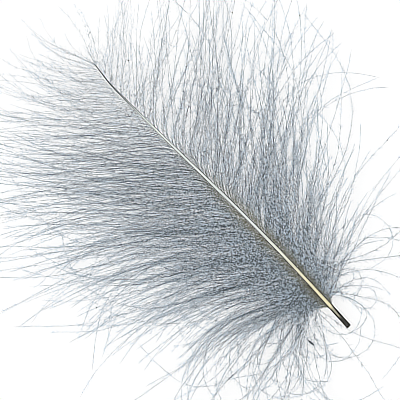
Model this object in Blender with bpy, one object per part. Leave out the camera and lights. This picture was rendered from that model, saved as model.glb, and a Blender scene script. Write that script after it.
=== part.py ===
"""A cul de canard feather, lying flat, as one solid.

The shaft runs along +Y from the cut quill to the fine tip, +X is the vane on the right when
looking from the quill to the tip, and +Z is up from the surface that the feather lies on.
The barbs of each vane are gathered in flattened locks that spring from the shaft, sweep
outwards and settle on the surface, where their undersides are flat.
"""

import math

import bmesh
import bpy
import numpy as np

MM = 0.001

# Shaft: its length along +Y, where its cut end lies, which centres the feather's outline over the
# origin, a slight S bend in plan, and a low arch over the surface
SHAFT_LENGTH = 50.0 * MM
CUT_END = (3.222 * MM, -27.444 * MM)
SHAFT_RINGS = 34
SHAFT_SIDES_RESOLUTION = 2
BEND_AMPLITUDE = 0.354 * MM
BEND_HALF_WAVE = 31.3 * MM
TIP_HOOK = 0.34 * MM
TIP_HOOK_LENGTH = 4.2 * MM
ARCH_RISE = 2.1 * MM
TIP_HEIGHT = 0.45 * MM
# Distance from the cut end, and the shaft's width there
SHAFT_STATIONS = (0.0, 3.6 * MM, 6.0 * MM, 9.0 * MM, 18.0 * MM, 26.0 * MM, 36.0 * MM, 42.0 * MM, 50.0 * MM)
SHAFT_WIDTHS = (0.60 * MM, 0.58 * MM, 0.52 * MM, 0.40 * MM, 0.36 * MM, 0.31 * MM, 0.26 * MM, 0.20 * MM, 0.12 * MM)

# Vanes: where the first and last barbs grow, and how the locks crowd towards the quill
FIRST_BARB = 3.9 * MM
LAST_BARB = 49.0 * MM
LOCKS_PER_VANE = 34
CROWDING = 1.30
# The right vane's roots stand this share of a step further up than the left vane's
STAGGER = 0.5
# Stations up a vane, from 0 at the first barb to 1 at the last one
VANE_STATIONS = (0.0, 0.012, 0.028, 0.05, 0.10, 0.20, 0.33, 0.50, 0.68, 0.85, 0.95, 1.0)
# Barb direction in degrees from +Y, turned outwards: at the middle of the barb and at its end. The
# lowest few locks are the loose down round the quill, which turns back past the cut end
RIGHT_MIDDLE = (150.0, 116.0, 86.0, 60.0, 51.0, 48.5, 47.5, 46.5, 45.5, 43.0, 38.0, 14.0)
RIGHT_END = (172.0, 132.0, 98.0, 64.0, 53.0, 49.0, 47.0, 46.0, 44.0, 39.0, 30.0, 6.0)
RIGHT_LENGTH = (14.5, 16.5, 19.0, 23.0, 26.0, 30.0, 30.5, 27.0, 21.0, 16.0, 12.0, 8.5)
LEFT_MIDDLE = (150.0, 118.0, 90.0, 66.0, 55.0, 51.5, 50.0, 48.0, 46.0, 44.0, 40.0, 14.0)
LEFT_END = (172.0, 140.0, 112.0, 84.0, 71.0, 63.0, 55.0, 45.0, 30.0, 14.0, 6.0, -2.0)
LEFT_LENGTH = (15.0, 17.5, 21.0, 27.0, 32.0, 37.0, 38.0, 34.5, 29.0, 23.0, 17.5, 12.0)
# Each barb leaves at this share of its middle direction, and turns outwards over this share of its length
ROOT_SHARE = 0.45
ROOT_TURN = 0.16
# The direction changes from the middle's to the end's beyond this share of the length
END_TURN_FROM = 0.40
# How much locks differ from their neighbours, as a share of the length and in degrees
LENGTH_VARIATION = 0.06
WANDER = 3.0

# Locks: rings along one lock, share of the free space it fills, and its half width's limits
LOCK_RINGS = 11
RING_CROWDING = 1.35
LOCK_FILL = 0.40
LOCK_HALF_MIN = 0.15 * MM
LOCK_HALF_MAX = 0.70 * MM
LOCK_TIP_TAPER = 0.86
TAPER_FROM = 0.35
# Section of a lock, as shares of its half width: a flat underside and a crest above
LOCK_SECTION = ((-1.0, -0.35), (1.0, -0.35), (0.70, 0.12), (0.0, 0.36), (-0.70, 0.12))
UNDERSIDE = 0.35
# Share of the length over which a lock comes down from the shaft to the surface
SETTLE = 0.46
# Every third lock belongs to an upper layer, whose tip stays off the surface
UPPER_EVERY = 3
UPPER_TIP = 2.2 * MM
UPPER_RISE = (0.20, 0.80)

WELD = 1e-7
GOLDEN = (math.sqrt(5.0) - 1.0) / 2.0


def ramp(x, start, stop):
    """Ease from 0 at start to 1 at stop, level at both."""
    share = np.clip((x - start) / (stop - start), 0.0, 1.0)
    return share * share * (3.0 - 2.0 * share)


def shaft_width(y):
    """The shaft's width at a distance from the cut end."""
    return np.interp(y, SHAFT_STATIONS, SHAFT_WIDTHS)


def shaft_centre(y):
    """Centre line of the shaft: the S bend in plan, the hook at the tip and the arch."""
    y = np.asarray(y, dtype=float)
    hook = TIP_HOOK * ramp(y, SHAFT_LENGTH - TIP_HOOK_LENGTH, SHAFT_LENGTH)
    x = BEND_AMPLITUDE * np.sin(math.pi * y / BEND_HALF_WAVE) + hook
    along = y / SHAFT_LENGTH
    z = shaft_width(y) / 2.0 + ARCH_RISE * np.sin(math.pi * along) + TIP_HEIGHT * along
    return np.stack([x + CUT_END[0], y + CUT_END[1], z], axis=-1)


def lock_roots():
    """Stations of the locks up a vane, closer together near the quill."""
    return np.linspace(0.0, 1.0, LOCKS_PER_VANE) ** CROWDING


def uneven(count, shift):
    """Evenly scattered values from -1 to 1, for lengths that differ from barb to barb."""
    return 2.0 * ((np.arange(count) * GOLDEN + shift) % 1.0) - 1.0


def lock_paths(side, middle, end, length):
    """Plan of every lock of a vane, as an array of locks by rings by x and y.

    side is +1 for the right vane and -1 for the left one. A direction eases from the root's
    to the middle's, then changes evenly to the end's, and the path adds up its steps.
    """
    stations = lock_roots()
    stagger = STAGGER if side > 0 else 0.0
    roots = FIRST_BARB + (LAST_BARB - FIRST_BARB) * stations
    roots = roots + stagger * np.gradient(roots) * (1.0 - stations)
    s = np.linspace(0.0, 1.0, LOCK_RINGS) ** RING_CROWDING
    mid = np.interp(stations, VANE_STATIONS, middle)[:, None]
    begin = ROOT_SHARE * mid
    last = np.interp(stations, VANE_STATIONS, end)[:, None]
    reach = np.interp(stations, VANE_STATIONS, length) * MM
    reach = (reach * (1.0 + LENGTH_VARIATION * uneven(len(reach), stagger)))[:, None]
    outer = mid + (last - mid) * ramp(s, END_TURN_FROM, 1.0)[None, :]
    outer = outer + WANDER * uneven(len(stations), 0.5 - stagger)[:, None] * s[None, :]
    angle = np.radians(begin + (outer - begin) * ramp(s, 0.0, ROOT_TURN)[None, :])
    step = np.diff(s)[None, :] * reach
    half_way = (angle[:, 1:] + angle[:, :-1]) / 2.0
    across = np.cumsum(np.sin(half_way) * step, axis=1) * side
    along = np.cumsum(np.cos(half_way) * step, axis=1)
    start = shaft_centre(roots)[:, None, :2]
    moves = np.stack([across, along], axis=-1)
    return np.concatenate([start, start + moves], axis=1), s


def half_widths(paths, s):
    """Half width of every lock at every ring: a share of the space to its neighbours."""
    widths = np.empty(paths.shape[:2])
    for i, path in enumerate(paths):
        near = [paths[j] for j in (i - 1, i + 1) if 0 <= j < len(paths)]
        fine = np.concatenate([resampled(other) for other in near])
        space = np.linalg.norm(path[:, None, :] - fine[None, :, :], axis=-1).min(axis=1)
        widths[i] = np.clip(space * LOCK_FILL, LOCK_HALF_MIN, LOCK_HALF_MAX)
    return widths * (1.0 - LOCK_TIP_TAPER * ramp(s, TAPER_FROM, 1.0))


def resampled(path, count=160):
    """More points along a path, at even shares of its rings."""
    t = np.linspace(0.0, len(path) - 1.0, count)
    rings = np.arange(len(path))
    return np.stack([np.interp(t, rings, path[:, k]) for k in range(2)], axis=1)


def lock_heights(index, root_height, half, s):
    """Height of a lock's centre line: down from the shaft, then flat on the surface."""
    lying = half * UNDERSIDE
    if index % UPPER_EVERY == 1:
        lying = lying + UPPER_TIP * ramp(s, *UPPER_RISE)
    come_down = ramp(s, 0.0, SETTLE)
    return root_height * (1.0 - come_down) + lying * come_down


def poly_curve(name, points, radii, cyclic=False):
    """A curve object with one straight-segment spline through the points."""
    curve = bpy.data.curves.new(name, "CURVE")
    curve.dimensions = "3D"
    curve.twist_mode = "Z_UP"
    spline = curve.splines.new("POLY")
    spline.points.add(len(points) - 1)
    for point, place, radius in zip(spline.points, points, radii):
        point.co = (*place, 1.0)
        point.radius = radius
    spline.use_cyclic_u = cyclic
    return bpy.data.objects.new(name, curve)


def section_guide(collection):
    """The outline that every lock is swept from, a guide that isn't part of the feather."""
    points = [(x, y, 0.0) for x, y in LOCK_SECTION]
    guide = poly_curve("lock_section", points, [1.0] * len(points), cyclic=True)
    guide.hide_render = True
    guide.display_type = "WIRE"
    collection.objects.link(guide)
    return guide


def as_mesh(curve_object, collection):
    """Turn a swept curve into a closed mesh object: its caps are welded to its wall."""
    bpy.context.view_layer.update()
    graph = bpy.context.evaluated_depsgraph_get()
    mesh = bpy.data.meshes.new_from_object(curve_object.evaluated_get(graph))
    mesh.name = curve_object.name
    edit = bmesh.new()
    edit.from_mesh(mesh)
    bmesh.ops.remove_doubles(edit, verts=edit.verts, dist=WELD)
    bmesh.ops.recalc_face_normals(edit, faces=edit.faces)
    edit.to_mesh(mesh)
    edit.free()
    solid = bpy.data.objects.new(curve_object.name + "_solid", mesh)
    solid.matrix_world = curve_object.matrix_world
    collection.objects.link(solid)
    bpy.data.objects.remove(curve_object)
    return solid


def make_shaft(collection, guides):
    """The shaft: a round tapering rod with flat ends, from the cut quill to the tip."""
    y = np.linspace(0.0, SHAFT_LENGTH, SHAFT_RINGS)
    widest = max(SHAFT_WIDTHS)
    rod = poly_curve("shaft", shaft_centre(y), shaft_width(y) / widest)
    rod.data.bevel_depth = widest / 2.0
    rod.data.bevel_resolution = SHAFT_SIDES_RESOLUTION
    rod.data.use_fill_caps = True
    guides.objects.link(rod)
    return as_mesh(rod, collection)


def make_locks(side, middle, end, length, section, guides):
    """All locks of one vane, each a closed solid whose root lies inside the shaft."""
    paths, s = lock_paths(side, middle, end, length)
    widths = half_widths(paths, s)
    for i, (path, half) in enumerate(zip(paths, widths)):
        root_height = shaft_centre(path[0, 1] - CUT_END[1])[2]
        heights = lock_heights(i, root_height, half, s)
        points = np.column_stack([path, heights])
        vane = "right" if side > 0 else "left"
        lock = poly_curve(f"lock_{vane}_{i:02d}", points, half)
        lock.data.bevel_mode = "OBJECT"
        lock.data.bevel_object = section
        lock.data.use_fill_caps = True
        guides.objects.link(lock)
        solid = as_mesh(lock, guides)
        solid.hide_render = True
        solid.display_type = "WIRE"


def feather_material():
    """Slate grey down, matt, as one colour for the whole solid."""
    material = bpy.data.materials.new("grey_down")
    material.use_nodes = True
    shader = material.node_tree.nodes["Principled BSDF"]
    shader.inputs["Base Color"].default_value = (0.235, 0.265, 0.300, 1.0)
    shader.inputs["Roughness"].default_value = 0.75
    shader.inputs["Metallic"].default_value = 0.0
    return material


def join_locks(shaft, locks):
    """Fuse every lock to the shaft in one solid, with a Boolean union that stays live."""
    union = shaft.modifiers.new("locks", "BOOLEAN")
    union.operation = "UNION"
    union.solver = "EXACT"
    union.operand_type = "COLLECTION"
    union.collection = locks


def new_collection(name):
    """A collection linked to the scene."""
    collection = bpy.data.collections.new(name)
    bpy.context.scene.collection.children.link(collection)
    return collection


def main():
    """Build the feather in an emptied scene."""
    for item in list(bpy.data.objects):
        bpy.data.objects.remove(item, do_unlink=True)
    parts = new_collection("cul_de_canard_feather")
    guides = new_collection("guides")
    locks = new_collection("lock_cutters")
    section = section_guide(guides)
    shaft = make_shaft(parts, guides)
    make_locks(1, RIGHT_MIDDLE, RIGHT_END, RIGHT_LENGTH, section, locks)
    make_locks(-1, LEFT_MIDDLE, LEFT_END, LEFT_LENGTH, section, locks)
    join_locks(shaft, locks)
    shaft.name = "feather"
    shaft.data.name = "feather"
    shaft.data.materials.append(feather_material())
    bpy.context.view_layer.update()


main()
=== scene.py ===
"""Looks of a cul de canard feather that lies flat, seen from straight above.

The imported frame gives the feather's place and size. Here the shaft gets its real surface and
its colours, and each vane gets its loose barbs with their barbules, as closed meshes worked
out from arrays. +Y runs along the shaft to the tip, +X towards the right vane, +Z up.
"""

import logging
import math
from dataclasses import dataclass, field, replace
from enum import Enum
from typing import Any

import bpy
import numpy as np
from mathutils import Matrix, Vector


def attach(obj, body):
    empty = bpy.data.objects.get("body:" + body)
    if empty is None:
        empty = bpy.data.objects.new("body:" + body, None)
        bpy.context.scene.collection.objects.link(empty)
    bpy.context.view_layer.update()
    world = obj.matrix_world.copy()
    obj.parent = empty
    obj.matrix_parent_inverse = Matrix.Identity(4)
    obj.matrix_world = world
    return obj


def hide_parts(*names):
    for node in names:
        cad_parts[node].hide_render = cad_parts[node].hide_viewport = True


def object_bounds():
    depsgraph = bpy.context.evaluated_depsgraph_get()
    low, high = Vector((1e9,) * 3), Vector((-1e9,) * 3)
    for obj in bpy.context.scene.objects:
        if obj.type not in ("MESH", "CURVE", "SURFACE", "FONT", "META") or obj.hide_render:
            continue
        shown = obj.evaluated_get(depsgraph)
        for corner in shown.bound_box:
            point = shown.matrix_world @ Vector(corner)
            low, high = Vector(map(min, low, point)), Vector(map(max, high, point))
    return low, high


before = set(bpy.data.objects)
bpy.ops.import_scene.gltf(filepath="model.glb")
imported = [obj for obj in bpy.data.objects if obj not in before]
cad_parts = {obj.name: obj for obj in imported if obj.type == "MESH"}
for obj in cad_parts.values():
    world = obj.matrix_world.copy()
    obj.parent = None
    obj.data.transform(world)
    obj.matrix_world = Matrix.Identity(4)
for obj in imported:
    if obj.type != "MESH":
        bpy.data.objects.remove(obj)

LOG = logging.getLogger("feather")
MM = 0.001
CAD_BOX = [list(map(float, corner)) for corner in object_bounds()]
BAKE_MAP = "OFBake"
BODY = "root"
CAD_NODE = "feather"

# Place of the cut end of the quill in the part's frame
CUT_END = np.array([3.222 * MM, -27.444 * MM])

Array = np.ndarray
Colour = tuple[float, float, float]


class Side(Enum):
    """Which vane, as seen from the quill towards the tip."""

    LEFT = -1
    RIGHT = 1


def ramp(x: Array, start: float, stop: float) -> Array:
    """Ease from 0 at start to 1 at stop as 3q^2 - 2q^3, where q is the share of the way.

    Args:
        x: the values to ease.
        start: where the ramp leaves 0.
        stop: where it reaches 1.

    Returns:
        The eased values, in the shape of x.
    """
    share = np.clip((x - start) / (stop - start), 0.0, 1.0)
    return share * share * (3.0 - 2.0 * share)


def unit(v: Array) -> Array:
    """Vectors of length 1 along the last axis."""
    return v / np.maximum(np.linalg.norm(v, axis=-1, keepdims=True), 1e-12)


def ring_of(turn: Array, sideways: Array, upward: Array) -> Array:
    """Vectors cos a U + sin a W for every angle a.

    Args:
        turn: the angles a, in radians.
        sideways: U of every ring.
        upward: W of every ring.

    Returns:
        The vectors, with the angles on a new axis before the last.
    """
    return np.cos(turn)[:, None] * sideways[..., None, :] + np.sin(turn)[:, None] * upward[..., None, :]


def drifting(rng: np.random.Generator, count: int, reach: float) -> Array:
    """Noise that neighbours share: white noise smoothed by a bell of width reach, then scaled to spread 1.

    Args:
        rng: the random source.
        count: how many values.
        reach: the bell's standard deviation, in steps.

    Returns:
        An array of count values.
    """
    span = int(3 * reach) + 1
    bell = np.exp(-0.5 * (np.arange(-span, span + 1) / reach) ** 2)
    values = np.convolve(rng.normal(size=count + 2 * span), bell, mode="valid")
    return values / math.sqrt(float((bell**2).sum()))


@dataclass(frozen=True)
class Signal:
    """A number that varies over a surface, with arithmetic that adds Math nodes."""

    recipe: "Recipe"
    socket: bpy.types.NodeSocket

    def _maths(self, operation: str, first: Any, second: Any) -> "Signal":
        """One Math node on two operands."""
        node = self.recipe.node("ShaderNodeMath", {"operation": operation}, {0: first, 1: second})
        return Signal(self.recipe, node.outputs[0])

    def __add__(self, other: Any) -> "Signal":
        """Sum."""
        return self._maths("ADD", self, other)

    def __sub__(self, other: Any) -> "Signal":
        """Difference."""
        return self._maths("SUBTRACT", self, other)

    def __mul__(self, other: Any) -> "Signal":
        """Product."""
        return self._maths("MULTIPLY", self, other)

    def __radd__(self, other: Any) -> "Signal":
        """Sum with a number in front."""
        return self._maths("ADD", other, self)

    def __rsub__(self, other: Any) -> "Signal":
        """Difference with a number in front."""
        return self._maths("SUBTRACT", other, self)

    def __rmul__(self, other: Any) -> "Signal":
        """Product with a number in front."""
        return self._maths("MULTIPLY", other, self)

    def eased(self, start: float, stop: float) -> "Signal":
        """Smooth ramp of the signal from 0 at start to 1 at stop."""
        node = self.recipe.node(
            "ShaderNodeMapRange",
            {"interpolation_type": "SMOOTHSTEP"},
            {"Value": self, "From Min": start, "From Max": stop, "To Min": 0.0, "To Max": 1.0},
        )
        return Signal(self.recipe, node.outputs["Result"])


class Recipe:
    """One material's nodes, built from readings, maths and colour mixes."""

    def __init__(self, name: str) -> None:
        """Start a material with only its output.

        Args:
            name: the material's name.
        """
        self.material = bpy.data.materials.new(name)
        self.material.use_nodes = True
        self.tree = self.material.node_tree
        self.tree.nodes.clear()

    def node(self, kind: str, settings: dict[str, Any], sockets: dict[Any, Any]) -> bpy.types.Node:
        """Add any node: its settings first, then the values or links of its sockets.

        Args:
            kind: the node's type.
            settings: property names and values.
            sockets: socket names, identifiers or numbers, each with a value, a Signal or a socket.

        Returns:
            The new node.
        """
        made = self.tree.nodes.new(kind)
        for key, value in settings.items():
            setattr(made, key, value)
        for key, value in sockets.items():
            target = made.inputs[key] if isinstance(key, int) else self._input(made, key)
            if isinstance(value, Signal):
                value = value.socket
            if isinstance(value, bpy.types.NodeSocket):
                self.tree.links.new(value, target)
            else:
                target.default_value = value
        return made

    @staticmethod
    def _input(made: bpy.types.Node, key: str) -> bpy.types.NodeSocket:
        """The node's input with that identifier or name."""
        return next(s for s in made.inputs if key in (s.identifier, s.name))

    def reading(self, attribute: str) -> Signal:
        """A number that the piece's mesh stores per vertex."""
        node = self.node("ShaderNodeAttribute", {"attribute_name": attribute}, {})
        return Signal(self, node.outputs["Fac"])

    def noise(
        self, per_metre: float, detail: float, stretch: tuple[float, float, float] = (1.0, 1.0, 1.0)
    ) -> Signal:
        """Noise over the piece, from 0 to 1.

        Args:
            per_metre: how many features fit in a metre.
            detail: octaves above the first.
            stretch: scale along each axis.

        Returns:
            The noise's value.
        """
        where = self.node("ShaderNodeTexCoord", {}, {})
        turned = self.node("ShaderNodeMapping", {}, {"Vector": where.outputs["Object"], "Scale": stretch})
        made = self.node(
            "ShaderNodeTexNoise", {}, {"Vector": turned.outputs[0], "Scale": per_metre, "Detail": detail}
        )
        return Signal(self, made.outputs[0])

    def mix(self, share: Signal, first: Any, second: Any) -> bpy.types.NodeSocket:
        """A colour that goes from first to second as share goes from 0 to 1.

        Args:
            share: the signal that drives the mix.
            first: a colour or colour socket.
            second: a colour or colour socket.

        Returns:
            The mixed colour's socket.
        """
        ends = {"A_Color": self._colour(first), "B_Color": self._colour(second)}
        made = self.node("ShaderNodeMix", {"data_type": "RGBA"}, {"Factor_Float": share, **ends})
        return next(s for s in made.outputs if s.identifier == "Result_Color")

    @staticmethod
    def _colour(value: Any) -> Any:
        """A colour with alpha, or the socket unchanged."""
        return value if isinstance(value, bpy.types.NodeSocket) else (*value, 1.0)

    def finish(self, **sockets: Any) -> bpy.types.Material:
        """Close the material with one Principled shader.

        Args:
            sockets: values or links for the shader's inputs, with underscores for spaces.

        Returns:
            The finished material.
        """
        named = {key.replace("_", " "): value for key, value in sockets.items()}
        shader = self.node("ShaderNodeBsdfPrincipled", {}, named)
        self.node("ShaderNodeOutputMaterial", {}, {"Surface": shader.outputs[0]})
        return self.material

    def bump(self, height: Signal, depth: float, strength: float) -> bpy.types.NodeSocket:
        """A normal that follows a height signal.

        Args:
            height: from 0 to 1.
            depth: real depth in metres of a change of 1.
            strength: share of the bump that shows.

        Returns:
            The normal's socket.
        """
        made = self.node("ShaderNodeBump", {}, {"Height": height, "Distance": depth, "Strength": strength})
        return made.outputs[0]


@dataclass(frozen=True)
class ShaftFinish:
    """Horn of the shaft: black-brown at the cut, then cream, ivory with dark edges of painted shade (partly
    the dark barb roots) and a grey tip. The quill's top has a lighter patch: partly wear, partly a painted
    highlight.
    """

    dark: Colour = (0.030, 0.029, 0.026)
    brown: Colour = (0.085, 0.072, 0.045)
    cream: Colour = (0.54, 0.50, 0.33)
    ivory: Colour = (0.52, 0.55, 0.535)
    # Painted shade along the shaft's sides, partly the dark barb roots
    roots_and_side_shade: Colour = (0.040, 0.044, 0.038)
    # Lighter patch on the quill's top: partly wear, partly a painted highlight
    wear_and_highlight: Colour = (0.30, 0.28, 0.21)
    tip: Colour = (0.10, 0.11, 0.11)
    streaks_per_metre: float = 1500.0
    streak_stretch: float = 0.10
    ragged: float = 0.022
    quill_end: tuple[float, float] = (0.066, 0.078)
    streak_depth: float = 0.02 * MM
    roughness: float = 0.45

    def material(self) -> bpy.types.Material:
        """The finish as a material that reads the shaft's own stations.

        Returns:
            The material.
        """
        r = Recipe("shaft_horn")
        along = r.reading("along")
        across = r.reading("across")
        streaks = r.noise(self.streaks_per_metre, 4.0, (1.0, self.streak_stretch, 1.0))
        ragged = along + (streaks - 0.5) * self.ragged
        horn = r.mix(along.eased(0.09, 0.40), self.cream, self.ivory)
        horn = r.mix(streaks.eased(0.5, 0.75) * 0.22, horn, self.brown)
        # Painted shade along the shaft's sides as seen from above, partly the dark barb roots; it weakens
        # towards the tip
        side_shade_share = 0.95 - 0.15 * along.eased(0.25, 0.60)
        horn = r.mix(across.eased(0.56, 0.82) * side_shade_share, horn, self.roots_and_side_shade)
        horn = r.mix(along.eased(0.76, 0.94), horn, self.tip)
        # Mottled lighter patch along the middle of the quill's top, on its upper part: partly wear, partly
        # a painted highlight
        wear_and_highlight = streaks.eased(0.36, 0.60) * (1.0 - across.eased(0.25, 0.75)) * along.eased(0.030, 0.045)
        inner = r.mix(wear_and_highlight * 0.9, self.dark, self.wear_and_highlight)
        inner = r.mix(streaks.eased(0.56, 0.70) * 0.4, inner, self.brown)
        colour = r.mix(ragged.eased(*self.quill_end), inner, horn)
        normal = r.bump(streaks, self.streak_depth, 0.5)
        return r.finish(Base_Color=colour, Roughness=self.roughness, Normal=normal, Specular_IOR_Level=0.22)


@dataclass(frozen=True)
class DownFinish:
    """Slate down: beaded dark barbs, near black where they leave the shaft and olive just beyond it."""

    name: str
    dark: Colour
    light: Colour
    tip: Colour
    bead: float
    collar: Colour = (0.050, 0.046, 0.030)
    olive: Colour = (0.20, 0.185, 0.115)
    collar_to: float = 0.03
    olive_to: float = 0.11
    beads_per_metre: float = 5000.0
    bead_stretch: float = 0.06
    roughness: float = 0.62

    def material(self) -> bpy.types.Material:
        """The finish as a material that reads each barb's own stations and tone.

        Returns:
            The material.
        """
        r = Recipe(self.name)
        along = r.reading("along")
        station = r.reading("station")
        tone = r.reading("tone")
        speckle = r.noise(self.beads_per_metre, 1.0, (1.0, 1.0, self.bead_stretch)).eased(0.43, 0.57)
        colour = r.mix(tone * (1.0 - self.bead) + speckle * self.bead, self.dark, self.light)
        colour = r.mix(along.eased(0.50, 1.0) * 0.7, colour, self.tip)
        lower = 1.0 - station.eased(0.30, 0.75)
        colour = r.mix((1.0 - along.eased(0.02, self.olive_to)) * lower * 0.8, colour, self.olive)
        colour = r.mix(1.0 - along.eased(0.0, self.collar_to), colour, self.collar)
        return r.finish(Base_Color=colour, Roughness=self.roughness, Specular_IOR_Level=0.35)


@dataclass(frozen=True)
class SpeckFinish:
    """Dry dark dust specks."""

    dark: Colour = (0.02, 0.018, 0.016)
    brown: Colour = (0.045, 0.042, 0.038)

    def material(self) -> bpy.types.Material:
        """The finish as a mottled material.

        Returns:
            The material.
        """
        r = Recipe("dust")
        colour = r.mix(r.noise(9000.0, 2.0), self.dark, self.brown)
        return r.finish(Base_Color=colour, Roughness=0.85)


@dataclass(frozen=True)
class FloorFinish:
    """White top of a light table, lit from below so that shadows stay faint."""

    white: Colour = (0.30, 0.30, 0.30)
    glow: float = 0.62

    def material(self) -> bpy.types.Material:
        """The finish as a plain material.

        Returns:
            The material.
        """
        return Recipe("light_table").finish(
            Base_Color=(*self.white, 1.0),
            Roughness=0.9,
            Specular_IOR_Level=0.0,
            Emission_Color=(1.0, 1.0, 1.0, 1.0),
            Emission_Strength=self.glow,
        )


@dataclass
class Sheet:
    """Arrays of one mesh, with what its materials read.

    Each entry of faces holds polygons with the same number of corners. The map has a row for
    every corner, in the order of the faces.
    """

    points: Array
    faces: list[Array]
    uv: Array
    readings: dict[str, Array] = field(default_factory=dict)

    def piece(self, name: str, material: bpy.types.Material, smooth: bool = True) -> None:
        """Make the sheet a finished piece that rides with the part.

        Args:
            name: the piece's name.
            material: its material.
            smooth: whether it is shaded smooth.
        """
        mesh = bpy.data.meshes.new(name)
        corners = np.concatenate([group.ravel() for group in self.faces])
        sizes = np.concatenate([np.full(len(group), group.shape[1]) for group in self.faces])
        starts = np.concatenate([[0], np.cumsum(sizes)[:-1]])
        mesh.vertices.add(len(self.points))
        mesh.vertices.foreach_set("co", self.points.astype(np.float32).ravel())
        mesh.loops.add(len(corners))
        mesh.loops.foreach_set("vertex_index", corners.astype(np.int32))
        mesh.polygons.add(len(sizes))
        mesh.polygons.foreach_set("loop_start", starts.astype(np.int32))
        mesh.polygons.foreach_set("use_smooth", np.full(len(sizes), smooth))
        mesh.uv_layers.new(name=BAKE_MAP).uv.foreach_set("vector", self.uv.astype(np.float32).ravel())
        for key, values in self.readings.items():
            stored = mesh.attributes.new(key, "FLOAT", "POINT")
            stored.data.foreach_set("value", values.astype(np.float32).ravel())
        mesh.update(calc_edges=True)
        mesh.validate()
        mesh.materials.append(material)
        made = bpy.data.objects.new(name, mesh)
        bpy.context.scene.collection.objects.link(made)
        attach(made, BODY)
        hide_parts(CAD_NODE)
        LOG.info("%s: %d points, %d triangles", name, len(self.points), int((sizes - 2).sum()))


@dataclass
class Strands:
    """Many fine strands as arrays: strand by ring by x, y, z, with a radius at every ring.

    Each strand is a closed tube. A ring is centre + r (cos a U + sin a W), where T is the
    strand's direction, U = T x Z made unit and W = U x T.
    """

    paths: Array
    radii: Array
    station: Array
    tone: Array
    sides: int = 3

    def chosen(self, which: Array) -> "Strands":
        """The strands with those numbers."""
        arrays = (self.paths, self.radii, self.station, self.tone)
        return Strands(*(values[which] for values in arrays), self.sides)

    def frames(self) -> tuple[Array, Array, Array]:
        """Direction, sideways and upward vectors at every ring, each of length 1."""
        forward = unit(np.gradient(self.paths, axis=1))
        sideways = unit(np.cross(forward, np.array([0.0, 0.0, 1.0])))
        return forward, sideways, np.cross(sideways, forward)

    def sheet(self) -> Sheet:
        """All strands as one sheet of quads, closed at both ends.

        Returns:
            The sheet, with a row of the map for each strand.
        """
        strands, rings = self.radii.shape
        _, sideways, upward = self.frames()
        turn = 2.0 * math.pi * np.arange(self.sides) / self.sides
        ring = ring_of(turn, sideways, upward)
        points = self.paths[:, :, None, :] + self.radii[:, :, None, None] * ring
        index = np.arange(strands * rings * self.sides).reshape(strands, rings, self.sides)
        after = np.roll(index, -1, axis=2)
        wall = np.stack([index[:, :-1], index[:, 1:], after[:, 1:], after[:, :-1]], axis=-1)
        return Sheet(
            points.reshape(-1, 3),
            [wall.reshape(-1, 4), index[:, 0], index[:, -1, ::-1]],
            self._map(strands, rings),
            self._readings(strands, rings, self.sides),
        )

    def _readings(self, strands: int, rings: int, each: int) -> dict[str, Array]:
        """Share of the length, station and tone for every vertex."""
        along = np.broadcast_to(np.linspace(0.0, 1.0, rings)[None, :, None], (strands, rings, each))
        station = np.broadcast_to(self.station[:, None, None], (strands, rings, each))
        tone = np.broadcast_to(self.tone[:, None, None], (strands, rings, each))
        return {"along": along.ravel(), "station": station.ravel(), "tone": tone.ravel()}

    def _map(self, strands: int, rings: int) -> Array:
        """Map corners: u is the share of the length, v the strand's row, unrolled round the tube."""
        s = np.linspace(0.0, 1.0, rings)
        row = np.arange(strands)[:, None, None]
        low = (row + (np.arange(self.sides) / self.sides)[None, None, :]) / strands
        high = low + 1.0 / (self.sides * strands)
        shape = (strands, rings - 1, self.sides)
        first = np.broadcast_to(s[None, :-1, None], shape)
        second = np.broadcast_to(s[None, 1:, None], shape)
        low, high = np.broadcast_to(low, shape), np.broadcast_to(high, shape)
        wall = np.stack([first, low, second, low, second, high, first, high], axis=-1).reshape(-1, 2)
        round_cap = np.arange(self.sides) / self.sides
        caps = []
        for centre in (0.5 / rings, 1.0 - 0.5 / rings):
            u = centre + 0.4 / rings * np.cos(2.0 * math.pi * round_cap)
            v = (row[:, :, 0] + 0.5 + 0.4 * np.sin(2.0 * math.pi * round_cap)[None, :]) / strands
            caps.append(np.stack([np.broadcast_to(u, v.shape), v], axis=-1).reshape(-1, 2))
        return np.concatenate([wall, *caps])


@dataclass(frozen=True)
class Growth:
    """One kind of barb on a vane: how many, where, how long and how unruly.

    Angles are in degrees. The pairs own_turn, end_turn and waves hold the value near the tip and
    the one at the base. The other pairs hold the lowest and the highest value.
    """

    name: str
    share: float
    span: tuple[float, float] = (0.0, 1.0)
    reach: tuple[float, float] = (0.45, 1.08)
    back_turn: float = 0.0
    layer_turn: float = 0.0
    shared_turn: float = 0.7
    own_turn: tuple[float, float] = (2.2, 2.6)
    end_turn: tuple[float, float] = (8.0, 11.0)
    waves: tuple[float, float] = (1.8, 2.4)
    curled: float = 0.05
    curl: tuple[float, float] = (40.0, 120.0)
    root_width: float = 0.038 * MM
    tip_width: float = 0.023 * MM
    rest: float = 1.0
    tone: float = 0.45


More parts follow.
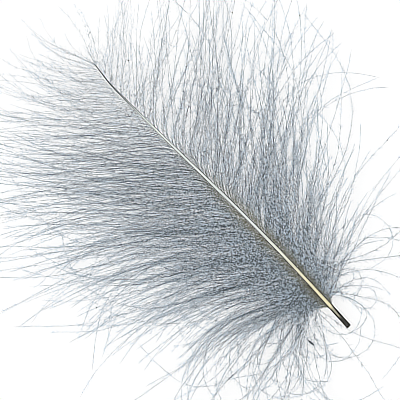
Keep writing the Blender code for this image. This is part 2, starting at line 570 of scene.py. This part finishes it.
LOWER_LAYER = Growth("lower layer", 0.30, layer_turn=-6.5, own_turn=(1.4, 1.7))
UPPER_LAYER = Growth("upper layer", 0.30, layer_turn=6.5, own_turn=(1.4, 1.7), rest=1.3)
CROSSING_BARBS = Growth(
    "crossing barbs",
    0.18,
    reach=(0.60, 1.15),
    own_turn=(7.0, 10.0),
    end_turn=(12.0, 20.0),
    waves=(2.0, 3.2),
    curled=0.08,
    root_width=0.040 * MM,
    tip_width=0.024 * MM,
    rest=1.2,
)
STRAY_BARBS = Growth(
    "stray barbs",
    0.15,
    reach=(0.92, 1.50),
    own_turn=(6.0, 20.0),
    end_turn=(16.0, 42.0),
    waves=(3.0, 4.0),
    curled=0.40,
    curl=(25.0, 120.0),
    root_width=0.034 * MM,
    tip_width=0.022 * MM,
    rest=1.3,
)
BASE_DOWN = Growth(
    "base down",
    0.09,
    span=(0.0, 0.09),
    reach=(0.45, 1.55),
    back_turn=48.0,
    own_turn=(28.0, 28.0),
    end_turn=(40.0, 40.0),
    waves=(6.0, 6.0),
    curled=0.60,
    curl=(30.0, 190.0),
    root_width=0.040 * MM,
    tip_width=0.026 * MM,
    rest=1.2,
    tone=0.60,
)


@dataclass
class Vane:
    """The loose barbs of one side of the shaft.

    A barb's direction is an angle from +Y, turned outwards. It eases from a share of the
    middle angle at the root to the middle angle, then to the end angle, with drift, waves
    and curl on top, and the path adds up its steps.
    """

    side: Side
    shaft: "Shaft"
    middle: tuple[float, ...]
    end: tuple[float, ...]
    length: tuple[float, ...]
    barbs: int
    crowding: tuple[float, ...]
    unruly: tuple[float, float]
    seed: int
    stations: tuple[float, ...] = (0.0, 0.05, 0.10, 0.20, 0.33, 0.50, 0.68, 0.85, 0.95, 1.0)
    growths: tuple[Growth, ...] = (LOWER_LAYER, UPPER_LAYER, CROSSING_BARBS, STRAY_BARBS, BASE_DOWN)
    first: float = 3.6 * MM
    last: float = 49.8 * MM
    rings: int = 50
    root_share: float = 0.45
    root_turn: float = 0.14
    end_turn_from: float = 0.35
    bead: tuple[float, float] = (0.65, 1.35)
    beaded: float = 0.45
    taper: float = 0.8
    thinner_at_tip: float = 0.52
    width_spread: float = 0.10
    point: float = 0.25
    tone_spread: float = 0.25
    root_inset: float = 0.7
    nudge: float = 0.22
    drift_reach: float = 8.0
    swings: tuple[tuple[float, float], ...] = ((1.2, 1.0), (2.9, 0.65), (7.0, 0.22))
    loft: float = 1.9 * MM
    hump: float = 0.9 * MM
    ripple: float = 0.16 * MM
    clearance: float = 0.06 * MM
    margin: float = 3.5 * MM
    barb_pieces: int = 2
    barbules: int = 100000
    barbules_inward: float = 1.0
    barbules_thinning: float = 0.55
    barbule_length: float = 1.10 * MM
    barbule_reach: tuple[float, float] = (0.45, 1.2)
    barbule_root_share: float = 0.35
    barbule_tip_loss: float = 0.60
    barbule_width: float = 0.034 * MM
    barbule_angle: float = 46.0
    barbule_lean_spread: float = 9.0
    barbule_roll_spread: float = 26.0
    barbule_clearance: tuple[float, float] = (0.01 * MM, 0.03 * MM)
    barbule_tones: tuple[float, float] = (-0.2, 1.0)
    barb_tone_share: float = 0.2
    barbule_seed_step: int = 7
    barbule_pieces: int = 3

    def strands(self) -> Strands:
        """All barbs of this vane.

        Returns:
            Their paths, radii, stations and tones.
        """
        rng = np.random.default_rng(self.seed)
        grown = [self._grow(rng, growth) for growth in self.growths]
        return Strands(
            np.concatenate([g.paths for g in grown]),
            np.concatenate([g.radii for g in grown]),
            np.concatenate([g.station for g in grown]),
            np.concatenate([g.tone for g in grown]),
        )

    def _grow(self, rng: np.random.Generator, growth: Growth) -> Strands:
        """The barbs of one kind.

        Args:
            rng: the random source.
            growth: the kind.

        Returns:
            Their paths, radii, stations and tones.
        """
        n = round(self.barbs * growth.share)
        t = self._roots(rng, growth, n)
        s = np.linspace(0.0, 1.0, self.rings)[None, :]
        downy = 1.0 - ramp(t, 0.05, 0.55)
        angle = self._angles(rng, growth, s, t, downy)
        reach = np.interp(t, self.stations, self.length) * MM * rng.uniform(*growth.reach, n)
        step = reach[:, None] / (self.rings - 1)
        half = (angle[:, 1:] + angle[:, :-1]) / 2.0
        zero = np.zeros((n, 1))
        across = np.concatenate([zero, np.cumsum(np.sin(half) * step, axis=1)], axis=1)
        onward = np.concatenate([zero, np.cumsum(np.cos(half) * step, axis=1)], axis=1)
        y = self.first + (self.last - self.first) * t
        root = self.shaft.centre(y)
        half_shaft = self.shaft.width(y) / 2.0
        start = root[:, :2].copy()
        start[:, 0] += self.side.value * self.root_inset * half_shaft
        plan = self._kept_in(start, np.stack([self.side.value * across, onward], axis=-1))
        z = self._heights(rng, growth, s, root[:, 2], downy)
        paths = np.concatenate([plan, z[..., None]], axis=-1)
        shrink = 1.0 - self.thinner_at_tip * ramp(t, 0.45, 1.0)
        shrink = shrink + self.width_spread * rng.normal(size=n).clip(-2.0, 2.0)
        widths = growth.root_width + (growth.tip_width - growth.root_width) * s**self.taper
        thick = rng.random((n, self.rings)) < self.beaded
        widths = widths * shrink[:, None] * np.where(thick, self.bead[1], self.bead[0])
        widths[:, -1] = self.point * growth.tip_width
        tone = np.clip(growth.tone + self.tone_spread * rng.normal(size=n), 0.0, 1.0)
        LOG.info("%s vane, %s: %d barbs", self.side.name.lower(), growth.name, n)
        return Strands(paths, widths / 2.0, t, tone)

    def _kept_in(self, start: Array, offsets: Array) -> Array:
        """Barbs in plan, each shrunk from its root just enough to stay in the part's box and its margin.

        Args:
            start: x and y of every root.
            offsets: x and y from the root, barb by ring.

        Returns:
            x and y of every ring.
        """
        low, high = (np.array(corner[:2]) for corner in CAD_BOX)
        room = np.where(offsets > 0.0, high + self.margin, low - self.margin) - start[:, None, :]
        share = room / np.where(np.abs(offsets) < 1e-9, np.inf, offsets)
        share = np.where(share <= 0.0, 1.0, share).min(axis=(1, 2))
        return start[:, None, :] + offsets * np.minimum(share, 1.0)[:, None, None]

    def _roots(self, rng: np.random.Generator, growth: Growth, count: int) -> Array:
        """Stations of the barbs: evenly spaced in the running sum of the crowding, then nudged.

        Args:
            rng: the random source.
            growth: the kind of barb.
            count: how many barbs.

        Returns:
            Their stations, from the base to the tip.
        """
        fine = np.linspace(*growth.span, 400)
        total = np.cumsum(np.interp(fine, self.stations, self.crowding))
        wanted = (np.arange(count) + 0.5 + rng.uniform(-self.nudge, self.nudge, count)) / count
        return np.interp(wanted * (total[-1] - total[0]) + total[0], total, fine)

    def _angles(
        self, rng: np.random.Generator, growth: Growth, s: Array, t: Array, downy: Array
    ) -> Array:
        """Direction of every barb at every ring, in radians: root, middle, end, waves and curl.

        Args:
            rng: the random source.
            growth: the kind of barb.
            s: share of the length at every ring.
            t: station of every barb.
            downy: how downy each barb is, from 0 to 1.

        Returns:
            Angles from +Y, barb by ring.
        """
        n = len(t)

        def between(pair: tuple[float, float]) -> Array:
            """A value that goes from the pair's first, near the tip, to its second at the base."""
            return pair[0] + (pair[1] - pair[0]) * downy

        unruly = between(self.unruly)
        own = unruly * between(growth.own_turn) * rng.normal(size=n)
        apart = unruly * between(growth.end_turn) * rng.normal(size=n)
        mid = growth.back_turn + growth.layer_turn + np.interp(t, self.stations, self.middle) + own
        last = growth.back_turn + 2.0 * growth.layer_turn + np.interp(t, self.stations, self.end) + apart
        shared = growth.shared_turn * drifting(rng, n, self.drift_reach)
        outer = mid[:, None] + (last - mid)[:, None] * ramp(s, self.end_turn_from, 1.0)
        begin = (self.root_share * np.interp(t, self.stations, self.middle))[:, None]
        angle = begin + (outer - begin) * ramp(s, 0.0, self.root_turn)
        for count, share in self.swings:
            phase = rng.uniform(0.0, 2.0 * math.pi, n)[:, None]
            rate = count * rng.uniform(0.8, 1.25, n)[:, None]
            swing = unruly * share * between(growth.waves) * rng.uniform(0.4, 1.6, n)
            wave = np.sin(2.0 * math.pi * rate * s + phase) * ramp(s, 0.05, 0.5)
            angle = angle + swing[:, None] * wave
        curled = rng.random(n) < growth.curled
        turn = curled * rng.choice([-1.0, 1.0], n) * rng.uniform(*growth.curl, n) * (0.2 + 0.8 * downy)
        angle = angle + turn[:, None] * ramp(s, 0.25, 1.0) + shared[:, None] * ramp(s, 0.1, 0.6)
        return np.radians(angle)

    def _heights(
        self, rng: np.random.Generator, growth: Growth, s: Array, root: Array, downy: Array
    ) -> Array:
        """Height of every barb: from the shaft's side to its own resting height, over a low hump.

        Args:
            rng: the random source.
            growth: the kind of barb.
            s: share of the length at every ring.
            root: height of the shaft's middle at every root.
            downy: how downy each barb is, from 0 to 1.

        Returns:
            Heights above the floor, barb by ring.
        """
        n = len(root)
        rest = growth.rest * self.loft * rng.beta(1.1, 2.2, n)[:, None]
        hump = (self.hump * rng.beta(1.5, 2.0, n) * (0.6 + 0.4 * downy))[:, None]
        settle = ramp(s, 0.0, 0.55)
        wave = self.ripple * np.sin(2.0 * math.pi * (2.1 * s + rng.random((n, 1)))) * settle
        z = root[:, None] * (1.0 - settle) + rest * settle + hump * 4.0 * s * (1.0 - s) + wave
        return np.maximum(z, self.clearance)

    def barbule_sheets(self, strands: Strands) -> list[Sheet]:
        """The barbules, shared out over a few sheets.

        A barbule is a needle with a triangular root on its barb. Its direction is
        cos a T + sin a (cos b U + sin b W), with a its angle to the barb and b near 0 or 180 degrees.

        Args:
            strands: the barbs that they grow on.

        Returns:
            One sheet of triangles for each part.
        """
        rng = np.random.default_rng(self.seed + self.barbule_seed_step)
        forward, sideways, upward = strands.frames()
        lengths = np.linalg.norm(np.diff(strands.paths, axis=1), axis=-1).sum(axis=1)
        n = self.barbules
        wanted = lengths * (1.0 - self.barbules_thinning * ramp(strands.station, 0.10, 0.85))
        barb = rng.choice(len(lengths), n, p=wanted / wanted.sum())
        along = 0.015 + 0.97 * rng.random(n) ** self.barbules_inward
        spot = along * (strands.radii.shape[1] - 1)
        low = np.floor(spot).astype(int)
        part = (spot - low)[:, None]
        root = strands.paths[barb, low] * (1.0 - part) + strands.paths[barb, low + 1] * part
        t_vec, u_vec, w_vec = forward[barb, low], sideways[barb, low], upward[barb, low]
        lean = np.radians(self.barbule_angle + self.barbule_lean_spread * rng.normal(size=n))[:, None]
        roll = math.pi * rng.integers(0, 2, n) + np.radians(self.barbule_roll_spread) * rng.normal(size=n)
        roll = roll[:, None]
        out = np.cos(roll) * u_vec + np.sin(roll) * w_vec
        heading = np.cos(lean) * t_vec + np.sin(lean) * out
        grown = self.barbule_root_share + (1.0 - self.barbule_root_share) * ramp(along, 0.0, 0.12)
        size = self.barbule_length * grown * (1.0 - self.barbule_tip_loss * along)
        size = (size * rng.uniform(*self.barbule_reach, n))[:, None]
        apex = root + heading * size
        apex[:, 2] = np.maximum(apex[:, 2], self.barbule_clearance[1])
        spread = unit(np.cross(heading, t_vec + 0.01 * w_vec))
        other = unit(np.cross(heading, spread))
        corner = 2.0 * math.pi * np.arange(3) / 3.0
        ring = ring_of(corner, spread, other)
        base = root[:, None, :] + ring * (self.barbule_width / 2.0)
        base[:, :, 2] = np.maximum(base[:, :, 2], self.barbule_clearance[0])
        points = np.concatenate([base, apex[:, None, :]], axis=1)
        tone = self.barb_tone_share * strands.tone[barb] + rng.uniform(*self.barbule_tones, n)
        tone = np.clip(tone, 0.0, 1.0)
        share = size[:, 0] / lengths[barb]
        order = np.array([[0, 1, 2], [0, 3, 1], [1, 3, 2], [2, 3, 0]])
        u = np.stack([along, along - 0.3 * share, along, along + share * 0.8], axis=1)
        v = (barb[:, None] + np.array([0.1, 0.5, 0.9, 0.5])[None, :]) / len(lengths)
        corners = np.stack([u, v], axis=-1)[:, order].clip(0.0, 1.0)
        sheets = []
        for which in np.array_split(np.arange(n), self.barbule_pieces):
            faces = (4 * np.arange(len(which)))[:, None, None] + order[None]
            readings = {
                "along": np.repeat(along[which], 4),
                "station": np.repeat(strands.station[barb[which]], 4),
                "tone": np.repeat(tone[which], 4),
            }
            uv = corners[which].reshape(-1, 2)
            sheets.append(Sheet(points[which].reshape(-1, 3), [faces.reshape(-1, 3)], uv, readings))
        return sheets

    def make(self, barb_finish: DownFinish, barbule_finish: DownFinish) -> Strands:
        """Make and dress the barbs and barbules of this vane.

        Args:
            barb_finish: the barbs' finish.
            barbule_finish: the barbules' finish.

        Returns:
            The barbs' arrays, for what lies on them.
        """
        name = self.side.name.lower()
        strands = self.strands()
        slate = barb_finish.material()
        shares = np.array_split(np.arange(len(strands.tone)), self.barb_pieces)
        for number, which in enumerate(shares, start=1):
            strands.chosen(which).sheet().piece(f"barbs_{name}_{number}", slate)
        dressed = barbule_finish.material()
        for number, sheet in enumerate(self.barbule_sheets(strands), start=1):
            sheet.piece(f"barbules_{name}_{number}", dressed, smooth=False)
        return strands


@dataclass
class Dust:
    """Specks of dark dust and one splinter of quill sheath, each on the barb nearest to it.

    A speck is a ball of 20 faces, stretched and turned. Its place is x and y in the part's
    frame, in millimetres, and its last number is its length.
    """

    specks: tuple[tuple[float, float, float], ...] = (
        (2.2, 24.8, 0.24),
        (6.8, 19.4, 0.29),
        (-4.5, 28.1, 0.20),
        (-0.9, 25.4, 0.18),
        (8.8, 19.2, 0.18),
        (13.6, 13.1, 0.20),
        (21.5, 13.7, 0.30),
        (27.3, 7.9, 0.24),
        (24.7, -12.2, 0.22),
        (17.5, 1.1, 0.18),
        (10.9, -14.3, 0.20),
        (-3.7, -17.7, 0.42),
        (-4.1, -16.8, 0.21),
        (-14.9, 10.3, 0.18),
        (-9.3, 19.5, 0.18),
        (-8.9, -1.1, 0.21),
        (-19.5, -1.9, 0.24),
        (-4.8, -15.5, 0.20),
    )
    splinter: tuple[float, float] = (-2.2, -25.5)
    splinter_length: float = 1.30 * MM
    splinter_width: float = 0.32 * MM
    splinter_turn: float = 97.0
    roughness: float = 0.18
    seed: int = 5

    @staticmethod
    def _ball() -> tuple[Array, Array]:
        """Corners and faces of a regular body of 20 triangles, with radius 1."""
        g = (1.0 + math.sqrt(5.0)) / 2.0
        rows = [(-1, g, 0), (1, g, 0), (-1, -g, 0), (1, -g, 0)]
        rows = rows + [(z, x, y) for x, y, z in rows] + [(y, z, x) for x, y, z in rows]
        corners = unit(np.array(rows, dtype=float))
        near = np.linalg.norm(corners[:, None] - corners[None], axis=-1) < 1.2
        triples = np.array([(i, j, k) for i in range(12) for j in range(i) for k in range(j)])
        i, j, k = triples.T
        faces = triples[near[i, j] & near[j, k] & near[i, k]]
        a, b, c = corners[faces[:, 0]], corners[faces[:, 1]], corners[faces[:, 2]]
        outward = (np.cross(b - a, c - a) * a).sum(axis=1) > 0.0
        return corners, np.where(outward[:, None], faces, faces[:, ::-1])

    def make(self, strands: list[Strands], finish: SpeckFinish) -> None:
        """Make and dress the dust.

        Args:
            strands: the barbs that carry it.
            finish: its finish.
        """
        rng = np.random.default_rng(self.seed)
        carried = np.concatenate([s.paths.reshape(-1, 3) for s in strands])
        corners, faces = self._ball()
        spots = np.array(self.specks)
        sizes = [(length * MM / 2.0, length * MM / 3.2, length * MM / 4.0) for length in spots[:, 2]]
        turns = list(rng.uniform(0.0, math.pi, len(spots)))
        sizes.append((self.splinter_length / 2.0, self.splinter_width / 2.0, self.splinter_width / 3.0))
        turns.append(math.radians(self.splinter_turn))
        places = np.concatenate([spots[:, :2], [self.splinter]]) * MM
        lumps = []
        for place, size, turn in zip(places, sizes, turns):
            carrier = carried[np.argmin(np.linalg.norm(carried[:, :2] - place, axis=1))]
            bumps = self.roughness * rng.normal(size=(len(corners), 1)).clip(-1.0, 1.0)
            lump = corners * (1.0 + bumps) * size
            spin = np.array([[math.cos(turn), -math.sin(turn)], [math.sin(turn), math.cos(turn)]])
            lump[:, :2] = lump[:, :2] @ spin.T
            lumps.append(lump + carrier + [0.0, 0.0, size[2] * 0.8])
        points = np.concatenate(lumps)
        every = (len(corners) * np.arange(len(lumps)))[:, None, None] + faces[None]
        flat = np.tile([[0.0, 0.0], [1.0, 0.0], [0.0, 1.0]], (len(lumps) * len(faces), 1))
        cell = np.repeat(np.arange(len(lumps)), 3 * len(faces))
        side = math.ceil(math.sqrt(len(lumps)))
        uv = (flat * 0.9 + np.stack([cell % side, cell // side], axis=-1)) / side
        Sheet(points, [every.reshape(-1, 3)], uv).piece("dust", finish.material(), smooth=False)


@dataclass
class Shaft:
    """Quill and shaft: a slightly flattened rod that bends, arches and tapers to a hair."""

    length: float = 50.0 * MM
    bend: float = 0.354 * MM
    half_wave: float = 31.3 * MM
    hook: float = 0.34 * MM
    hook_length: float = 4.2 * MM
    arch: float = 2.1 * MM
    tip_height: float = 0.45 * MM
    stations: tuple[float, ...] = (0.0, 3.6, 6.0, 9.0, 18.0, 26.0, 36.0, 42.0, 50.0)
    widths: tuple[float, ...] = (0.70, 0.68, 0.60, 0.56, 0.53, 0.48, 0.40, 0.29, 0.08)
    rings: int = 400
    sides: int = 28
    ribs: tuple[float, float] = (9.0, 0.012)
    oval: tuple[float, float] = (0.025, 0.01)
    groove: float = 0.10
    bore: float = 0.62
    bore_depth: float = 0.5 * MM

    def width(self, y: Array) -> Array:
        """Width at a distance from the cut end."""
        return np.interp(y, np.array(self.stations) * MM, np.array(self.widths) * MM)

    def centre(self, y: Array) -> Array:
        """Centre line: x = bend sin(pi y / half wave) plus the hook, z = half the width plus the arch.

        Args:
            y: distances from the cut end.

        Returns:
            Points in the part's frame, with a last axis of x, y and z.
        """
        y = np.asarray(y, dtype=float)
        hook = self.hook * ramp(y, self.length - self.hook_length, self.length)
        x = self.bend * np.sin(math.pi * y / self.half_wave) + hook
        share = y / self.length
        z = self.width(y) / 2.0 + self.arch * np.sin(math.pi * share) + self.tip_height * share
        return np.stack([x + CUT_END[0], y + CUT_END[1], z], axis=-1)

    def make(self, finish: ShaftFinish) -> None:
        """Make and dress the shaft, with the small bore at its cut end.

        A ring is centre + r q (cos a U + sin a W), with U and W across the shaft and q its ribs,
        its slight oval and the groove along its underside.

        Args:
            finish: the shaft's finish.
        """
        y = np.linspace(0.0, self.length, self.rings)
        inside = np.array([self.bore_depth, self.bore_depth * 0.5, 0.0])
        route = np.concatenate([inside, y])
        centre = self.centre(route)
        radius = self.width(route) / 2.0
        radius[:3] *= self.bore
        radius[0] *= 0.05
        forward = unit(np.gradient(self.centre(y), axis=0))
        forward = np.concatenate([np.repeat(forward[:1], 3, axis=0), forward])
        sideways = unit(np.cross(forward, np.array([0.0, 0.0, 1.0])))
        upward = np.cross(sideways, forward)
        turn = 2.0 * math.pi * np.arange(self.sides) / self.sides
        groove = 1.0 - self.groove * np.maximum(0.0, -np.sin(turn)) ** 6
        rib_count, rib_height = self.ribs
        oval_turn, oval_share = self.oval
        profile = 1.0 + rib_height * np.sin(rib_count * turn) + oval_share * np.sin(2.0 * turn + oval_turn)
        reach = radius[:, None] * (profile * groove)[None, :]
        points = centre[:, None, :] + reach[..., None] * ring_of(turn, sideways, upward)
        rings = len(route)
        index = np.arange(rings * self.sides).reshape(rings, self.sides)
        after = np.roll(index, -1, axis=1)
        wall = np.stack([index[:-1], index[1:], after[1:], after[:-1]], axis=-1).reshape(-1, 4)
        caps = [self._cap(index[0]), self._cap(index[-1][::-1])]
        share = np.broadcast_to((route / self.length)[:, None], index.shape).copy()
        share[:3] = 0.0
        across = np.broadcast_to(np.abs(np.cos(turn))[None, :], index.shape)
        along_map = np.arange(rings)[:, None] / (rings - 1.0)
        round_map = np.arange(self.sides)[None, :] / self.sides
        shape = (rings - 1, self.sides)
        low, high = np.broadcast_to(along_map[:-1], shape), np.broadcast_to(along_map[1:], shape)
        left = np.broadcast_to(round_map, shape)
        right = left + 1.0 / self.sides
        uv = np.stack([low, left, high, left, high, right, low, right], axis=-1).reshape(-1, 2)
        cap_uv = np.tile([[0.0, 0.0], [0.004, 0.0], [0.004, 1.0], [0.0, 1.0]], (len(caps[0]), 1))
        uv = np.concatenate([uv, cap_uv, cap_uv + np.array([0.996, 0.0])])
        readings = {"along": share.ravel(), "across": across.ravel()}
        Sheet(points.reshape(-1, 3), [wall, *caps], uv, readings).piece("shaft", finish.material())

    @staticmethod
    def _cap(ring: Array) -> Array:
        """A ring closed by a strip of quads, from one side of it to the other."""
        n = len(ring)
        k = np.arange(n // 2 - 1)
        return np.stack([ring[k], ring[k + 1], ring[n - 2 - k], ring[n - 1 - k]], axis=-1)


@dataclass
class Studio:
    """Floor, soft light and the camera straight above the feather."""

    frame_width: float = 54.4 * MM
    height: float = 0.50
    centre: tuple[float, float] = (0.672 * MM, -1.024 * MM)
    right: tuple[float, float] = (0.7180, -0.6962)
    sensor: float = 36.0
    sharpening: float = 0.15
    tone_curve: float = 2.2
    film_filter: float = 0.8
    near_clip: float = 0.01
    surround: float = 0.95
    panels: tuple[tuple[str, tuple[float, float, float], float, float], ...] = (
        ("key_panel", (-0.55, 0.45, 0.9), 0.5, 5.5),
        ("fill_panel", (0.7, -0.5, 0.8), 0.7, 2.5),
    )
    table: float = 3.0

    def camera(self) -> None:
        """A long lens that looks straight down, rolled so that the shaft points up and to the left."""
        lens = bpy.data.cameras.new("camera")
        lens.sensor_width = self.sensor
        lens.lens = self.sensor * self.height / self.frame_width
        lens.clip_start = self.near_clip
        eye = bpy.data.objects.new("camera", lens)
        rx, ry = self.right
        x, y = self.centre
        eye.matrix_world = Matrix(
            ((rx, -ry, 0.0, x), (ry, rx, 0.0, y), (0.0, 0.0, 1.0, self.height), (0.0, 0.0, 0.0, 1.0))
        )
        bpy.context.scene.collection.objects.link(eye)
        bpy.context.scene.camera = eye

    def lights(self) -> None:
        """A bright even surround and two large soft panels, each with a place, a size and a power."""
        world = bpy.data.worlds.new("studio")
        world.use_nodes = True
        background = world.node_tree.nodes["Background"]
        background.inputs["Color"].default_value = (1.0, 1.0, 1.0, 1.0)
        background.inputs["Strength"].default_value = self.surround
        bpy.context.scene.world = world
        for name, place, size, power in self.panels:
            lamp = bpy.data.lights.new(name, "AREA")
            lamp.shape = "SQUARE"
            lamp.size = size
            lamp.energy = power
            panel = bpy.data.objects.new(name, lamp)
            back = unit(np.array(place))
            across = unit(np.cross([0.0, 0.0, 1.0], back))
            up = np.cross(back, across)
            columns = np.column_stack([across, up, back, place])
            panel.matrix_world = Matrix([*columns.tolist(), [0.0, 0.0, 0.0, 1.0]])
            bpy.context.scene.collection.objects.link(panel)

    def floor(self) -> None:
        """A large light table at the feather's resting height."""
        half = self.table
        mesh = bpy.data.meshes.new("floor")
        corners = [(-half, -half, 0.0), (half, -half, 0.0), (half, half, 0.0), (-half, half, 0.0)]
        mesh.from_pydata(corners, [], [(0, 1, 2, 3)])
        mesh.materials.append(FloorFinish().material())
        card = bpy.data.objects.new("floor", mesh)
        bpy.context.scene.collection.objects.link(card)

    def develop(self) -> None:
        """A narrow film filter, then a little sharpening in the picture's own tones."""
        scene = bpy.context.scene
        scene.cycles.filter_width = self.film_filter
        scene.use_nodes = True
        tree = scene.node_tree
        tree.nodes.clear()
        picture = tree.nodes.new("CompositorNodeRLayers")
        to_tones = tree.nodes.new("CompositorNodeGamma")
        to_tones.inputs["Gamma"].default_value = 1.0 / self.tone_curve
        crisp = tree.nodes.new("CompositorNodeFilter")
        crisp.filter_type = "SHARPEN"
        crisp.inputs["Fac"].default_value = self.sharpening
        to_light = tree.nodes.new("CompositorNodeGamma")
        to_light.inputs["Gamma"].default_value = self.tone_curve
        out = tree.nodes.new("CompositorNodeComposite")
        chain = (picture, to_tones, crisp, to_light, out)
        for before, after in zip(chain, chain[1:]):
            tree.links.new(before.outputs["Image"], after.inputs["Image"])

    def make(self) -> None:
        """Set up the whole studio."""
        bpy.context.scene.view_settings.view_transform = "Standard"
        bpy.context.scene.view_settings.look = "None"
        self.develop()
        self.camera()
        self.lights()
        self.floor()


def main() -> None:
    """Build the studio and the feather."""
    logging.basicConfig(level=logging.INFO, format="%(name)s: %(message)s")
    Studio().make()
    shaft = Shaft()
    shaft.make(ShaftFinish())
    barb_finish = DownFinish(
        "barb_slate",
        dark=(0.011, 0.014, 0.016),
        light=(0.150, 0.180, 0.200),
        tip=(0.145, 0.180, 0.205),
        bead=0.80,
    )
    barbule_finish = DownFinish(
        "barbule_haze",
        dark=(0.055, 0.069, 0.080),
        light=(0.62, 0.73, 0.83),
        tip=(0.54, 0.65, 0.75),
        bead=0.60,
        collar_to=0.02,
    )
    right = Vane(
        Side.RIGHT,
        shaft,
        middle=(56.0, 52.5, 50.5, 49.0, 49.0, 49.5, 50.5, 50.0, 44.0, 18.0),
        end=(60.0, 55.0, 52.0, 49.0, 47.5, 47.5, 48.5, 46.0, 36.0, 4.0),
        length=(15.5, 20.0, 23.0, 27.0, 27.5, 24.5, 19.5, 14.0, 10.0, 7.5),
        barbs=250,
        crowding=(1.35, 1.50, 1.50, 1.30, 1.05, 0.88, 0.72, 0.60, 0.56, 0.52),
        unruly=(1.2, 1.15),
        seed=11,
        growths=(
            replace(LOWER_LAYER, layer_turn=-8.0, reach=(0.35, 1.12), own_turn=(1.7, 1.7)),
            replace(UPPER_LAYER, layer_turn=7.0, reach=(0.35, 1.12), own_turn=(1.7, 1.7)),
            replace(CROSSING_BARBS, reach=(0.50, 1.20)),
            replace(STRAY_BARBS, share=0.28, layer_turn=5.0, own_turn=(9.0, 15.0), reach=(1.05, 1.70)),
            replace(BASE_DOWN, share=0.06, reach=(0.35, 1.40)),
        ),
        barbules=54000,
        barbule_pieces=2,
        barbules_inward=1.35,
    )
    left = Vane(
        Side.LEFT,
        shaft,
        middle=(68.0, 60.0, 55.5, 52.0, 50.0, 48.0, 46.5, 45.5, 43.0, 14.0),
        end=(100.0, 86.0, 75.0, 66.0, 57.0, 48.0, 33.0, 13.0, 2.0, -8.0),
        length=(19.0, 24.0, 28.5, 32.5, 33.0, 28.7, 22.8, 17.2, 13.2, 9.8),
        barbs=600,
        crowding=(1.7, 2.1, 1.90, 1.55, 1.30, 1.12, 0.88, 0.62, 0.55, 0.52),
        unruly=(1.0, 1.05),
        seed=23,
    )
    grown = [vane.make(barb_finish, barbule_finish) for vane in (right, left)]
    Dust().make(grown, SpeckFinish())
    bpy.context.view_layer.update()


if __name__ == "__main__":
    main()
